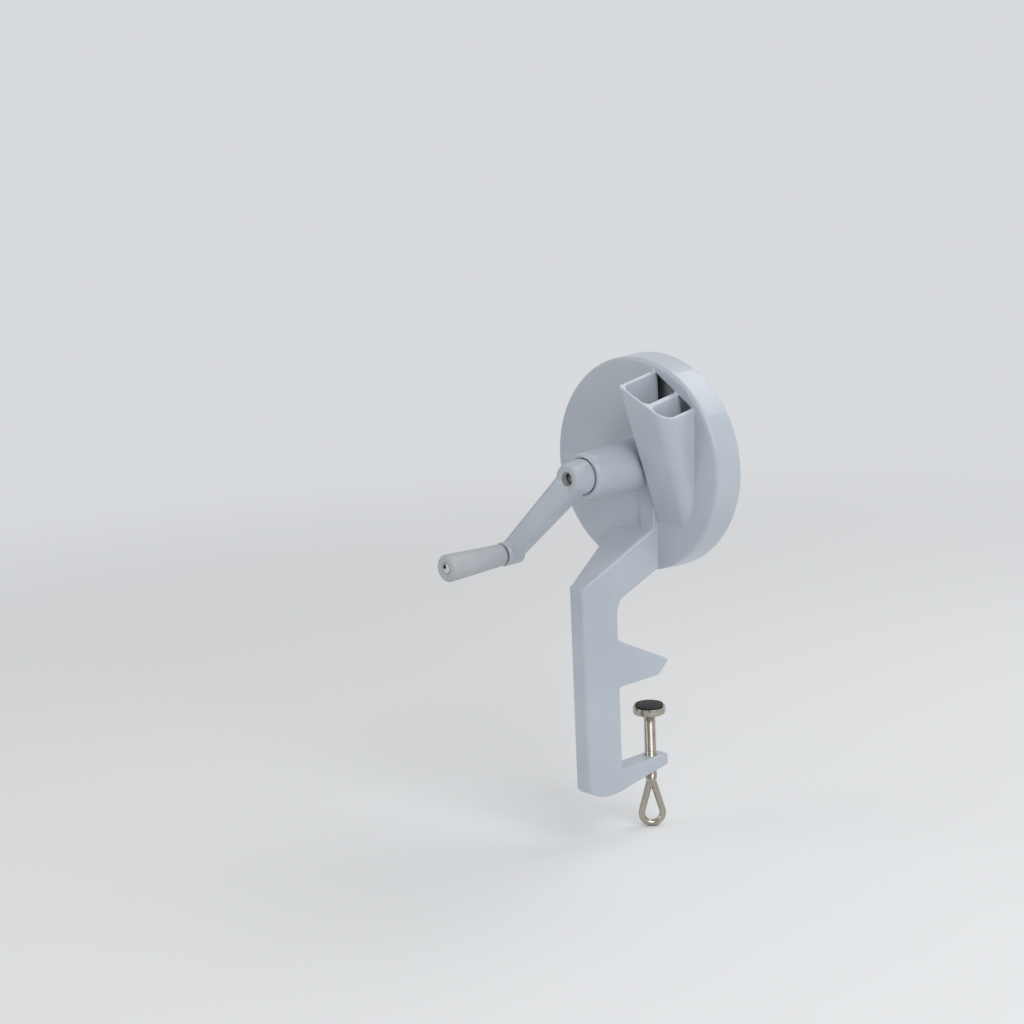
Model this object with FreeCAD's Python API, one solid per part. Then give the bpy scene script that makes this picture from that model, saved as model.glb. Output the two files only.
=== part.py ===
import FreeCAD, Part

import math
import os

# Hand-cranked bean slicer with a table clamp. All sizes are in millimetres.
# The slicer is built in the shaft frame: the origin is where the shaft's axis crosses
# the front of the round plate, -Y points to the crank, +Y to the open back, +Z up.
# Each piece is then moved so that the origin is on the clamp screw's axis, in the
# plane of the jaw's underside, where the slicer sits on the table's top.

V = FreeCAD.Vector
Y_AXIS = V(0, 1, 0)
Z_AXIS = V(0, 0, 1)

# Place of the clamp below the shaft
seat_drop = 144.5
screw_y = 6.0

# Drum: round plate with a rim behind it, open at the back
plate_radius = 71.0
plate_thickness = 3.0
drum_depth = 22.0
rim_draft = 1.0
rim_wall = 2.6
rim_edge_round = 2.2
rim_inner_round = 1.5

# Shaft boss on the front of the plate
boss_root_radius = 17.3
boss_end_radius = 14.8
boss_length = 50.0
boss_end_round = 2.6
boss_root_fillet = 3.0
hub_recess_depth = 4.0
hub_recess_clearance = 0.7

# Feed hopper: two mouths side by side, right of the shaft
hopper_boss_gap = 0.4
hopper_width = 35.1
hopper_depth = 90.0
hopper_wall = 2.0
hopper_draft_deg = 2.0
hopper_foot_z = -37.5
hopper_front_slope = 0.35
hopper_corner_round = 10.0
hopper_left_round = 2.5
hopper_inner_round = 4.0
partition_inset = 20.2
mouth_edge_margin = 5.2
mouth_slope = 0.692
mouth_tilt = 0.17
hopper_floor_height = 10.5

# Arm from the drum down to the clamp
stand_width = 13.5
stand_front_y = -60.0
stand_back_y = -29.0
bend_front_z = -71.8
bend_back_z = -87.5
bend_inner_round = 16.0
arm_root_left = 23.0
arm_root_right = 17.6
arm_root_top_z = -42.5
arm_root_side_z = -38.0
arm_rim_margin = 2.4
stand_edge_round = 2.6
web_width = 12.0
web_depth = 2.5

# Clamp: upper jaw, gap, lower arm with the screw
jaw_root_height = 32.0
jaw_tip_height = 8.0
jaw_tip_reach = 13.5
jaw_tip_chamfer = 2.0
jaw_seat_reach = 3.8
jaw_root_round = 4.0
jaw_root_share = 0.4
jaw_inner_round = 1.5
clamp_edge_round = 0.8
gap_height = 56.5
lower_arm_reach = 10.0
lower_arm_tip_thickness = 8.0
foot_front_drop = 7.0
foot_depth = 15.4

# Shaft, bushes and washers
shaft_radius = 6.0
shaft_shoulder = 1.0
thread_clearance = 0.05
running_clearance = 0.04
bush_wall = 2.0
bush_length = 16.0
relief_clearance = 0.6
thrust_washer_thickness = 1.0
thrust_washer_radius = 10.0
washer_bore_clearance = 0.1
end_play = 0.2
shaft_recess = 4.7

# Blade wheel behind the plate
wheel_rim_clearance = 2.4
wheel_plate_thickness = 3.5
wheel_plate_gap = 3.5
wheel_rim_width = 4.0
wheel_rim_height = 3.0
wheel_hub_radius = 14.0
wheel_hub_length = 10.5
drive_pin_radius = 1.5
drive_pin_clearance = 0.02
drive_pin_inset = 1.0
washer_radius = 10.0
flat_washer_thickness = 1.6
spring_washer_thickness = 2.2
spring_washer_gap = 1.2
spring_washer_inset = 1.0
wheel_nut_thickness = 5.5
wheel_nut_flats = 16.0
shaft_tail = 1.5

# Knives, three round the wheel
knife_count = 3
knife_first_deg = 62.0
knife_hub_margin = 4.0
knife_rim_margin = 4.0
knife_width = 13.0
knife_thickness = 1.2
knife_overhang = 2.0
knife_bevel = 2.4
knife_screw_inset = 8.0
knife_screw_setback = 1.5
slot_width = 9.0
slot_end_margin = 1.0
knife_screw_radius = 2.0
knife_screw_head_radius = 3.7
knife_screw_head_height = 1.7
knife_hole_clearance = 0.1
knife_nut_flats = 7.0
knife_nut_thickness = 3.2
knife_screw_tail = 1.2

# Chamfer of the nuts
nut_chamfer_deg = 30.0
nut_face_share = 0.96

# Crank with its hub, arm and small end
crank_hub_length = 17.5
crank_hub_face_radius = 9.5
crank_hub_flare_radius = 11.7
crank_hub_back_radius = 11.0
crank_hub_round = 1.2
crank_dx = -50.0
crank_dz = -53.2
crank_stand_clearance = 2.3
crank_end_length = 14.5
crank_end_radius = 8.0
crank_end_round = 1.5
crank_end_face_round = 0.6
crank_root_front_width = 17.0
crank_root_back_width = 21.4
crank_root_offset = 0.6
crank_tip_front_width = 12.4
crank_tip_back_width = 15.0
crank_tip_thickness = 12.6
crank_boss_clearance = 0.5
crank_face_inset = 0.7
crank_arm_round = 3.4

# Turning grip on its pin
grip_length = 48.5
grip_near_radius = 7.2
grip_far_radius = 9.1
grip_end_round = 2.4
grip_near_round = 0.8
grip_gap = 0.3
grip_washer_thickness = 0.8
grip_washer_radius = 6.0
pin_radius = 3.0
pin_clearance = 0.08
pin_shoulder = 0.5
pin_thread_inset = 1.0
pin_head_radius = 3.9
pin_head_height = 3.0
pin_head_recess = 0.8
pin_head_clearance = 0.4

# Clamp screw with its eye, and the swivel pad
screw_radius = 4.0
screw_running_clearance = 0.05
table_thickness = 20.7
pad_radius = 11.0
pad_height = 5.0
pad_round = 1.2
pad_facing_thickness = 1.6
pad_facing_inset = 1.4
pad_socket_clearance = 0.8
pad_clearance = 0.15
screw_neck_radius = 2.6
screw_neck_length = 2.4
screw_tip_radius = 4.2
screw_tip_height = 2.0
eye_drop = 1.1
eye_length = 34.5
eye_width = 19.0
eye_wire_radius = 2.3
eye_turn_deg = 50.0
eye_leg_share = 0.95
eye_shoulder_length = 3.0

# How far a cutting tool runs past a face
overrun = 1.0

# Values worked out from the ones above
hopper_left = boss_root_radius + hopper_boss_gap
hopper_right = hopper_left + hopper_width
partition_x = hopper_left + partition_inset
mouth_back_left_z = math.sqrt(plate_radius ** 2 - hopper_left ** 2) - mouth_edge_margin
window_foot_z = hopper_foot_z + hopper_floor_height
arm_root_bottom_z = arm_rim_margin - plate_radius
thread_radius = shaft_radius - shaft_shoulder
pin_thread_radius = pin_radius - pin_shoulder
bore_radius = shaft_radius + running_clearance
bush_radius = bore_radius + bush_wall
recess_floor_y = -boss_length + hub_recess_depth
front_washer_y = recess_floor_y - end_play - thrust_washer_thickness
crank_hub_back_y = front_washer_y
rear_washer_y = plate_thickness + end_play
wheel_front_y = rear_washer_y + thrust_washer_thickness
wheel_plate_y = plate_thickness + wheel_plate_gap
wheel_radius = plate_radius - rim_wall - wheel_rim_clearance
knife_inner = wheel_hub_radius + knife_hub_margin
knife_outer = wheel_radius - knife_rim_margin
wheel_hub_back_y = wheel_front_y + wheel_hub_length
spring_washer_y = wheel_hub_back_y + flat_washer_thickness
wheel_nut_y = spring_washer_y + spring_washer_thickness
shaft_back_y = wheel_nut_y + wheel_nut_thickness + shaft_tail
crank_hub_face_y = crank_hub_back_y - crank_hub_length
crank_end_face_y = stand_front_y - crank_stand_clearance - crank_end_length
shaft_front_y = crank_hub_face_y + shaft_recess
grip_start_y = crank_end_face_y - grip_gap - grip_washer_thickness - grip_gap
grip_end_y = grip_start_y - grip_length
seat_z = -seat_drop
lower_arm_top_z = seat_z - gap_height
pad_top_z = seat_z - table_thickness
pad_bottom_z = pad_top_z - pad_facing_thickness - pad_height
jaw_root_z = seat_z + jaw_root_height
jaw_tip_z = seat_z + jaw_tip_height
jaw_tip_y = screw_y + jaw_tip_reach
jaw_seat_end_y = screw_y + jaw_seat_reach
lower_arm_tip_y = screw_y + lower_arm_reach
foot_front_z = lower_arm_top_z - foot_front_drop
foot_low_z = lower_arm_top_z - foot_depth
eye_shoulder_z = foot_low_z - eye_drop
eye_bottom_z = eye_shoulder_z - eye_length
pad_socket_radius = screw_tip_radius + pad_socket_clearance


def save(name, shape):
    """Moves a piece from the shaft frame to the seat frame and writes it."""
    placed = shape.copy()
    placed.translate(V(0, -screw_y, seat_drop))
    placed.exportStep("parts/" + name + ".step")
    print(name, len(placed.Solids), "solid", round(placed.Volume, 1), "mm3", placed.isValid())


def polygon(points):
    """Closed wire through the points."""
    return Part.makePolygon(points + [points[0]])


def y_rod(radius, start, end, x=0.0, z=0.0):
    """Round bar along Y."""
    return Part.makeCylinder(radius, end - start, V(x, start, z), Y_AXIS)


def y_tube(outer, inner, start, end, x=0.0, z=0.0):
    """Round tube along Y."""
    return y_rod(outer, start, end, x, z).cut(y_rod(inner, start, end, x, z))


def z_rod(radius, start, end):
    """Round bar along Z on the clamp screw's axis."""
    return Part.makeCylinder(radius, end - start, V(0, screw_y, start), Z_AXIS)


def turned(edges, about_x=0.0, about_z=0.0):
    """Solid of revolution about the Y axis from edges in the half plane z > 0."""
    face = Part.Face(Part.Wire(edges))
    solid = face.revolve(V(0, 0, 0), Y_AXIS, 360)
    solid.translate(V(about_x, 0, about_z))
    return solid


def profile(points, rounds, closed=True):
    """Edges of an outline in the plane x = 0 whose numbered corners are rounded with arcs."""
    count = len(points)
    corners = [V(0, y, r) for y, r in points]
    edges = []
    starts = []
    ends = []
    arcs = []
    for index, corner in enumerate(corners):
        radius = rounds.get(index, 0.0)
        before = (corners[index - 1] - corner).normalize()
        after = (corners[(index + 1) % count] - corner).normalize()
        if radius == 0.0:
            starts.append(corner)
            ends.append(corner)
            arcs.append(None)
            continue
        half_angle = before.getAngle(after) / 2
        reach = radius / math.tan(half_angle)
        middle = (before + after).normalize()
        centre = corner + middle * (radius / math.sin(half_angle))
        first = corner + before * reach
        last = corner + after * reach
        arcs.append(Part.Arc(first, centre - middle * radius, last).toShape())
        starts.append(first)
        ends.append(last)
    for index in range(count):
        if arcs[index] is not None:
            edges.append(arcs[index])
        if index == count - 1 and not closed:
            break
        following = starts[(index + 1) % count]
        if (following - ends[index]).Length > 1e-6:
            edges.append(Part.LineSegment(ends[index], following).toShape())
    return edges


def hexagon(flats, start, end, x=0.0, z=0.0):
    """Six-sided nut blank along Y, with its corners turned off by a cone at the far end."""
    reach = flats / 2 / math.cos(math.radians(30))
    points = []
    for step in range(6):
        angle = math.radians(60 * step)
        points.append(V(x + reach * math.cos(angle), start, z + reach * math.sin(angle)))
    blank = Part.Face(polygon(points)).extrude(V(0, end - start, 0))
    face_radius = flats / 2 * nut_face_share
    wide_radius = face_radius + (end - start) / math.tan(math.radians(nut_chamfer_deg))
    return blank.common(Part.makeCone(wide_radius, face_radius, end - start, V(x, start, z), Y_AXIS))


def spin(shape, degrees):
    """Copy of a shape turned about the shaft's axis."""
    copy = shape.copy()
    copy.rotate(V(0, 0, 0), Y_AXIS, degrees)
    return copy


# Body casting

def make_drum():
    """Plate and rim in one turning, with a rounded front edge and an open back."""
    inner = plate_radius - rim_wall
    outline = [
        (0, 0),
        (0, plate_radius),
        (drum_depth, plate_radius + rim_draft),
        (drum_depth, inner + rim_draft),
        (plate_thickness, inner),
        (plate_thickness, 0),
    ]
    rounds = {1: rim_edge_round, 2: rim_wall * 0.4, 3: rim_wall * 0.4, 4: rim_inner_round}
    return turned(profile(outline, rounds))


def make_boss():
    """Tapered boss with a rounded end, a recess for the crank's hub and a flared root."""
    outline = [
        (plate_thickness / 2, 0),
        (plate_thickness / 2, boss_root_radius + 2 * boss_root_fillet),
        (0, boss_root_radius + 2 * boss_root_fillet),
        (0, boss_root_radius),
        (-boss_length, boss_end_radius),
        (-boss_length, 0),
    ]
    return turned(profile(outline, {3: boss_root_fillet, 4: boss_end_round}))


def make_boss_bore():
    """Through bore for the bushes, relieved between them, with the hub's recess."""
    recess_radius = crank_hub_back_radius + hub_recess_clearance
    bore = y_rod(bush_radius, -boss_length - overrun, plate_thickness + overrun)
    relief_start = recess_floor_y + bush_length
    relief_end = plate_thickness - bush_length
    relief = y_rod(bush_radius + relief_clearance, relief_start, relief_end)
    recess = y_rod(recess_radius, -boss_length - overrun, recess_floor_y)
    return bore.fuse([relief, recess])


def mouth_cutter(reach):
    """Everything above the sloping plane of the hopper's mouths."""
    corner = V(hopper_left, 0, mouth_back_left_z)
    right = V(1, 0, -mouth_slope).normalize()
    front = V(0, -1, -mouth_tilt).normalize()
    points = [
        corner - right * reach - front * reach,
        corner + right * reach - front * reach,
        corner + right * reach + front * reach,
        corner - right * reach + front * reach,
    ]
    return Part.Face(polygon(points)).extrude(right.cross(front).normalize() * -reach)


def hopper_block(left, right, wall, back_y):
    """Wedge between two side walls, its front sloping back to the plate."""
    top_z = mouth_back_left_z + plate_thickness
    lean = math.tan(math.radians(hopper_draft_deg))
    right_foot = right - lean * (top_z - hopper_foot_z)
    sides = Part.Face(polygon([
        V(left, back_y, hopper_foot_z), V(right_foot, back_y, hopper_foot_z),
        V(right, back_y, top_z), V(left, back_y, top_z),
    ])).extrude(V(0, -hopper_depth - back_y, 0))
    foot_z = hopper_foot_z + wall / hopper_front_slope * math.hypot(1, hopper_front_slope)
    rise = top_z - foot_z
    back_z = foot_z - back_y / hopper_front_slope
    wedge = Part.Face(polygon([
        V(left - 1, back_y, back_z),
        V(left - 1, back_y, top_z),
        V(left - 1, -rise * hopper_front_slope, top_z),
    ])).extrude(V(right - left + 2, 0, 0))
    return sides.common(wedge)


def front_corner_edges(block, right_side):
    """The sloping edges where the hopper's front meets its left or right wall."""
    found = []
    for edge in block.Edges:
        first = edge.Vertexes[0].Point
        last = edge.Vertexes[-1].Point
        if abs(first.z - last.z) < hopper_width / 2 or abs(first.y - last.y) < hopper_width / 8:
            continue
        box = edge.BoundBox
        middle = (block.BoundBox.XMin + block.BoundBox.XMax) / 2
        if (box.XMin > middle) == right_side:
            found.append(edge)
    return found


def make_hopper():
    """Outer wedge of the hopper with a wide round on its right corner."""
    block = hopper_block(hopper_left, hopper_right, 0.0, plate_thickness / 2)
    block = block.makeFillet(hopper_corner_round, front_corner_edges(block, True))
    block = block.makeFillet(hopper_left_round, front_corner_edges(block, False))
    return block.cut(mouth_cutter(2 * plate_radius))


def make_hopper_cavities():
    """The two mouths, each open through the plate to the blade wheel."""
    half = hopper_wall / 2
    spans = [
        (hopper_left + hopper_wall, partition_x - half, hopper_inner_round),
        (partition_x + half, hopper_right - hopper_wall, hopper_corner_round - hopper_wall),
    ]
    cavities = []
    for left, right, right_round in spans:
        block = hopper_block(left, right, hopper_wall, plate_thickness + overrun)
        block = block.makeFillet(right_round, front_corner_edges(block, True))
        block = block.makeFillet(hopper_inner_round, front_corner_edges(block, False))
        reach = 2 * hopper_depth
        floor = Part.makeBox(reach, reach, reach, V(0, -reach / 2, window_foot_z - reach))
        cavities.append(block.cut(mouth_cutter(2 * plate_radius)).cut(floor))
    return cavities


def make_arm():
    """Arm that flares from the stand's bend up to the plate."""
    half = stand_width / 2
    bend = [
        V(-half, stand_front_y, bend_front_z), V(half, stand_front_y, bend_front_z),
        V(half, stand_back_y, bend_back_z), V(-half, stand_back_y, bend_back_z),
    ]
    inside = plate_thickness / 2
    root = [
        V(-arm_root_left, inside, arm_root_top_z), V(arm_root_right, inside, arm_root_side_z),
        V(arm_root_right, inside, arm_root_bottom_z), V(-arm_root_right, inside, arm_root_bottom_z),
    ]
    arm = Part.makeLoft([polygon(bend), polygon(root)], True, True)
    long_edges = [edge for edge in arm.Edges if edge.BoundBox.YLength > abs(stand_back_y) * 0.9]
    return arm.makeFillet(stand_edge_round, long_edges)


def make_stand():
    """Stand with the upper jaw, the lower arm and the curved foot."""
    tip_bottom_z = lower_arm_top_z - lower_arm_tip_thickness
    outline = [
        (stand_front_y, foot_front_z),
        (stand_front_y, bend_front_z),
        (plate_thickness / 2, arm_root_bottom_z),
        (stand_back_y, bend_back_z),
        (stand_back_y, jaw_root_z),
        (jaw_tip_y - jaw_tip_chamfer, jaw_tip_z + jaw_tip_chamfer),
        (jaw_tip_y, jaw_tip_z),
        (jaw_seat_end_y, seat_z),
        (stand_back_y, seat_z),
        (stand_back_y, lower_arm_top_z),
        (lower_arm_tip_y, lower_arm_top_z),
        (lower_arm_tip_y, tip_bottom_z),
    ]
    room = bend_back_z - jaw_root_z
    rounds = {
        3: min(bend_inner_round, room),
        4: min(jaw_root_round, room * jaw_root_share),
        6: clamp_edge_round,
        7: clamp_edge_round,
        8: jaw_inner_round,
        9: jaw_inner_round,
        10: clamp_edge_round,
    }
    foot = Part.BSplineCurve()
    foot.interpolate([V(0, y, z) for y, z in foot_outline(tip_bottom_z)])
    edges = profile(outline, rounds, closed=False) + [foot.toShape()]
    stand = Part.Face(Part.Wire(edges)).extrude(V(stand_width, 0, 0))
    stand.translate(V(-stand_width / 2, 0, 0))
    front_edges = []
    for edge in stand.Edges:
        box = edge.BoundBox
        if box.YMax < stand_front_y + 0.01 and box.ZLength > stand_width:
            front_edges.append(edge)
    return stand.makeFillet(stand_edge_round, front_edges)


def foot_outline(tip_bottom_z):
    """Points of the foot's curved underside, from the lower arm's tip to the stand's front."""
    fall = tip_bottom_z - foot_low_z
    depth = lower_arm_tip_y - stand_front_y
    shares = [(0.25, 0.36), (0.45, 0.69), (0.62, 0.97), (0.765, 1.0), (0.92, 0.56)]
    middle = [(lower_arm_tip_y - depth * along, tip_bottom_z - fall * down) for along, down in shares]
    return [(lower_arm_tip_y, tip_bottom_z)] + middle + [(stand_front_y, foot_front_z)]


def make_web():
    """Low web that fills the corner between the boss, the hopper and the arm."""
    left = hopper_left - web_width
    low_z = arm_root_top_z
    inside = plate_thickness / 2
    outline = [
        V(left - web_depth, inside, low_z), V(left - web_depth, 0, low_z), V(left, -web_depth, low_z),
        V(arm_root_right, -web_depth, low_z), V(arm_root_right, inside, low_z),
    ]
    return Part.Face(polygon(outline)).extrude(V(0, 0, -low_z - bush_radius))


def make_body_casting():
    stand = make_stand()
    body = make_drum().fuse([make_boss(), make_hopper(), make_arm(), stand, make_web()])
    screw_hole = z_rod(screw_radius + screw_running_clearance, foot_low_z - overrun,
                       lower_arm_top_z + overrun)
    body = body.cut(make_boss_bore())
    for cavity in make_hopper_cavities():
        body = body.cut(cavity)
    return body.cut(screw_hole).removeSplitter()


# Shaft, bushes and washers

def make_bush(start):
    return y_tube(bush_radius, bore_radius, start, start + bush_length)


def make_thrust_washer(start):
    bore = shaft_radius + washer_bore_clearance
    return y_tube(thrust_washer_radius, bore, start, start + thrust_washer_thickness)


def make_drive_shaft():
    """Journal with a threaded end at the front for the crank and one at the back."""
    journal = y_rod(shaft_radius, crank_hub_back_y, wheel_hub_back_y)
    front = y_rod(thread_radius, shaft_front_y, crank_hub_back_y)
    back = y_rod(thread_radius, wheel_hub_back_y, shaft_back_y)
    shaft = journal.fuse([front, back]).removeSplitter()
    return shaft.cut(make_pin_bar(drive_pin_clearance))


def make_pin_bar(clearance):
    """Bar of the pin that locks the wheel's hub to the shaft."""
    middle_y = (wheel_plate_y + wheel_plate_thickness + wheel_hub_back_y) / 2
    reach = wheel_hub_radius - drive_pin_inset + clearance
    return Part.makeCylinder(drive_pin_radius + clearance, 2 * reach, V(0, middle_y, -reach), Z_AXIS)


# Blade wheel and knives

def knife_angles():
    return [knife_first_deg + 360.0 / knife_count * step for step in range(knife_count)]


def knife_screw_places():
    """Heights of a knife's two screws, and how far they sit behind its edge."""
    behind = knife_overhang - knife_width / 2 - knife_screw_setback
    return [(behind, knife_inner + knife_screw_inset), (behind, knife_outer - knife_screw_inset)]


def screw_head(x, z, clearance):
    """Countersunk head whose top is flush with the knife's face."""
    top_y = wheel_plate_y - knife_thickness
    return Part.makeCone(knife_screw_head_radius + clearance, knife_screw_radius + clearance,
                         knife_screw_head_height, V(x, top_y, z), Y_AXIS)


def make_knife():
    """Flat knife with a bevelled edge over the slot, standing off the wheel's face."""
    top_y = wheel_plate_y - knife_thickness
    back_x = knife_overhang - knife_width
    outline = [
        V(back_x, wheel_plate_y, knife_inner), V(back_x, top_y, knife_inner),
        V(knife_overhang, top_y, knife_inner), V(knife_overhang - knife_bevel, wheel_plate_y, knife_inner),
    ]
    knife = Part.Face(polygon(outline)).extrude(V(0, 0, knife_outer - knife_inner))
    for x, z in knife_screw_places():
        hole = y_rod(knife_screw_radius + knife_hole_clearance, top_y, wheel_plate_y, x, z)
        knife = knife.cut(hole.fuse(screw_head(x, z, knife_hole_clearance)))
    return knife


def make_knife_screws():
    """All knife screws, each with a countersunk head and a plain shank."""
    nut_back = wheel_plate_y + wheel_plate_thickness + knife_nut_thickness
    screws = []
    for angle in knife_angles():
        for x, z in knife_screw_places():
            shank = y_rod(knife_screw_radius, wheel_plate_y, nut_back + knife_screw_tail, x, z)
            screws.append(spin(screw_head(x, z, 0.0).fuse(shank), angle))
    return Part.makeCompound(screws)


def make_knife_nuts():
    start = wheel_plate_y + wheel_plate_thickness
    nuts = []
    for angle in knife_angles():
        for x, z in knife_screw_places():
            blank = hexagon(knife_nut_flats, start, start + knife_nut_thickness, x, z)
            bore = y_rod(knife_screw_radius + thread_clearance, start, start + knife_nut_thickness, x, z)
            nuts.append(spin(blank.cut(bore), angle))
    return Part.makeCompound(nuts)


def make_blade_wheel():
    """Cast disc with a hub, a stiffening rim at the back and one slot per knife."""
    back_y = wheel_plate_y + wheel_plate_thickness
    disc = y_rod(wheel_radius, wheel_plate_y, back_y)
    rim = y_tube(wheel_radius, wheel_radius - wheel_rim_width, back_y, back_y + wheel_rim_height)
    hub = y_rod(wheel_hub_radius, wheel_front_y, wheel_hub_back_y)
    wheel = disc.fuse([rim, hub]).removeSplitter()
    wheel = wheel.cut(y_rod(shaft_radius + drive_pin_clearance, wheel_front_y, wheel_hub_back_y))
    wheel = wheel.cut(make_pin_bar(drive_pin_clearance))
    slot_height = knife_outer - knife_inner + 2 * slot_end_margin
    slot_low = V(0, wheel_plate_y - overrun, knife_inner - slot_end_margin)
    slot = Part.makeBox(slot_width, wheel_plate_thickness + 2 * overrun, slot_height, slot_low)
    for angle in knife_angles():
        wheel = wheel.cut(spin(slot, angle))
        for x, z in knife_screw_places():
            hole = y_rod(knife_screw_radius + knife_hole_clearance, wheel_plate_y, back_y, x, z)
            head = screw_head(x, z, knife_hole_clearance)
            wheel = wheel.cut(spin(hole.fuse(head), angle))
    return wheel


def make_flat_washer():
    end = wheel_hub_back_y + flat_washer_thickness
    return y_tube(washer_radius, thread_radius + washer_bore_clearance, wheel_hub_back_y, end)


def make_spring_washer():
    """Split ring under the nut."""
    end = spring_washer_y + spring_washer_thickness
    ring = y_tube(washer_radius - spring_washer_inset, thread_radius + washer_bore_clearance,
                  spring_washer_y, end)
    split = Part.makeBox(spring_washer_gap, spring_washer_thickness, washer_radius,
                         V(-spring_washer_gap / 2, spring_washer_y, 0))
    return ring.cut(split)


def make_wheel_nut():
    end = wheel_nut_y + wheel_nut_thickness
    blank = hexagon(wheel_nut_flats, wheel_nut_y, end)
    return blank.cut(y_rod(thread_radius + thread_clearance, wheel_nut_y, end))


# Crank and grip

def crank_direction():
    return V(crank_dx, 0, crank_dz).normalize()


def crank_section(along, offset, front_y, back_y, front_width, back_width):
    """Trapezium across the crank's arm, at a distance from the shaft's axis."""
    direction = crank_direction()
    across = V(-direction.z, 0, direction.x)
    middle = direction * along + across * offset
    corners = [
        (-1, front_y, front_width), (1, front_y, front_width),
        (1, back_y, back_width), (-1, back_y, back_width),
    ]
    return polygon([middle + across * (side * width / 2) + V(0, y, 0) for side, y, width in corners])


def make_crank_arm():
    """Hub with a threaded through hole, leaning arm and small end in one casting."""
    arm_back_y = -boss_length - crank_boss_clearance
    hub_outline = [
        (crank_hub_back_y, 0),
        (crank_hub_back_y, crank_hub_back_radius),
        (arm_back_y, crank_hub_back_radius),
        (arm_back_y, crank_hub_flare_radius),
        (crank_hub_face_y, crank_hub_face_radius),
        (crank_hub_face_y, 0),
    ]
    hub = turned(profile(hub_outline, {4: crank_hub_round}))
    throw = math.hypot(crank_dx, crank_dz)
    near = crank_section(0, crank_root_offset, crank_hub_face_y + crank_face_inset, arm_back_y,
                         crank_root_front_width, crank_root_back_width)
    tip_front_y = crank_end_face_y + crank_face_inset
    far = crank_section(throw, 0, tip_front_y, tip_front_y + crank_tip_thickness,
                        crank_tip_front_width, crank_tip_back_width)
    arm = Part.makeLoft([near, far], True, True)
    long_edges = [edge for edge in arm.Edges if edge.Length > throw / 2]
    arm = arm.makeFillet(crank_arm_round, long_edges)
    end_back = crank_end_face_y + crank_end_length
    end_outline = [
        (end_back, 0),
        (end_back, crank_end_radius),
        (crank_end_face_y, crank_end_radius),
        (crank_end_face_y, 0),
    ]
    small_end = turned(profile(end_outline, {1: crank_end_round, 2: crank_end_face_round}), crank_dx, crank_dz)
    crank = hub.fuse([arm, small_end]).removeSplitter()
    crank = crank.cut(y_rod(thread_radius + thread_clearance, crank_hub_face_y - overrun, crank_hub_back_y))
    tapped = pin_thread_radius + thread_clearance
    return crank.cut(y_rod(tapped, crank_end_face_y - overrun, end_back + overrun, crank_dx, crank_dz))


def make_grip():
    """Grip that swells to its free end, bored for the pin, with a recess for its head."""
    outline = [
        (grip_start_y, 0),
        (grip_start_y, grip_near_radius),
        (grip_end_y, grip_far_radius),
        (grip_end_y, 0),
    ]
    grip = turned(profile(outline, {1: grip_near_round, 2: grip_end_round}), crank_dx, crank_dz)
    bore = y_rod(pin_radius + pin_clearance, grip_end_y, grip_start_y, crank_dx, crank_dz)
    recess_radius = pin_head_radius + pin_head_clearance
    recess_end = grip_end_y + pin_head_recess
    recess = y_rod(recess_radius, grip_end_y, recess_end, crank_dx, crank_dz)
    return grip.cut(bore).cut(recess)


def make_grip_washer():
    start = crank_end_face_y - grip_gap - grip_washer_thickness
    bore = pin_radius + pin_clearance
    end = start + grip_washer_thickness
    return y_tube(grip_washer_radius, bore, start, end, crank_dx, crank_dz)


def make_grip_pin():
    """Pin with a domed head at the free end, screwed into the crank's small end."""
    head_base = grip_end_y + pin_head_recess - grip_gap
    shank = y_rod(pin_radius, head_base, crank_end_face_y, crank_dx, crank_dz)
    thread_end = crank_end_face_y + crank_end_length - pin_thread_inset
    thread = y_rod(pin_thread_radius, crank_end_face_y, thread_end, crank_dx, crank_dz)
    sphere_radius = (pin_head_radius ** 2 + pin_head_height ** 2) / (2 * pin_head_height)
    centre = V(crank_dx, head_base - pin_head_height + sphere_radius, crank_dz)
    dome = Part.makeSphere(sphere_radius, centre)
    slab = y_rod(pin_head_radius, head_base - pin_head_height, head_base, crank_dx, crank_dz)
    return shank.fuse([thread, dome.common(slab)]).removeSplitter()


# Clamp screw and swivel pad

def make_clamp_screw():
    """Threaded rod with a riveting neck and tip at the top and a teardrop eye below."""
    rod_top = pad_bottom_z
    neck_top = rod_top + screw_neck_length
    rod = z_rod(screw_radius, eye_shoulder_z, rod_top)
    neck = z_rod(screw_neck_radius, rod_top, neck_top)
    tip = z_rod(screw_tip_radius, neck_top, neck_top + screw_tip_height)
    return rod.fuse([neck, tip, make_eye()]).removeSplitter()


def make_eye():
    """Teardrop loop of round wire: a wide arc below and two straight legs that close above."""
    ring_radius = eye_width / 2 - eye_wire_radius
    centre_z = eye_bottom_z + eye_wire_radius + ring_radius
    apex = V(0, screw_y, eye_shoulder_z + screw_radius * 0.4)
    lean = math.acos(ring_radius / (apex.z - centre_z))
    touch_x = ring_radius * math.sin(lean)
    touch_z = centre_z + ring_radius * math.cos(lean)
    left = V(-touch_x, screw_y, touch_z)
    right = V(touch_x, screw_y, touch_z)
    low = V(0, screw_y, centre_z - ring_radius)
    first = left + (apex - left) * eye_leg_share
    last = right + (apex - right) * eye_leg_share
    path = Part.Wire([
        Part.LineSegment(first, left).toShape(),
        Part.Arc(left, low, right).toShape(),
        Part.LineSegment(right, last).toShape(),
    ])
    section = Part.Wire([Part.makeCircle(eye_wire_radius, first, left - first)])
    loop = path.makePipeShell([section], True, False)
    shoulder = Part.makeCone(screw_radius, eye_wire_radius, eye_shoulder_length,
                             V(0, screw_y, eye_shoulder_z), -Z_AXIS)
    eye = loop.fuse(shoulder)
    eye.rotate(V(0, screw_y, 0), Z_AXIS, eye_turn_deg)
    return eye


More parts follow.
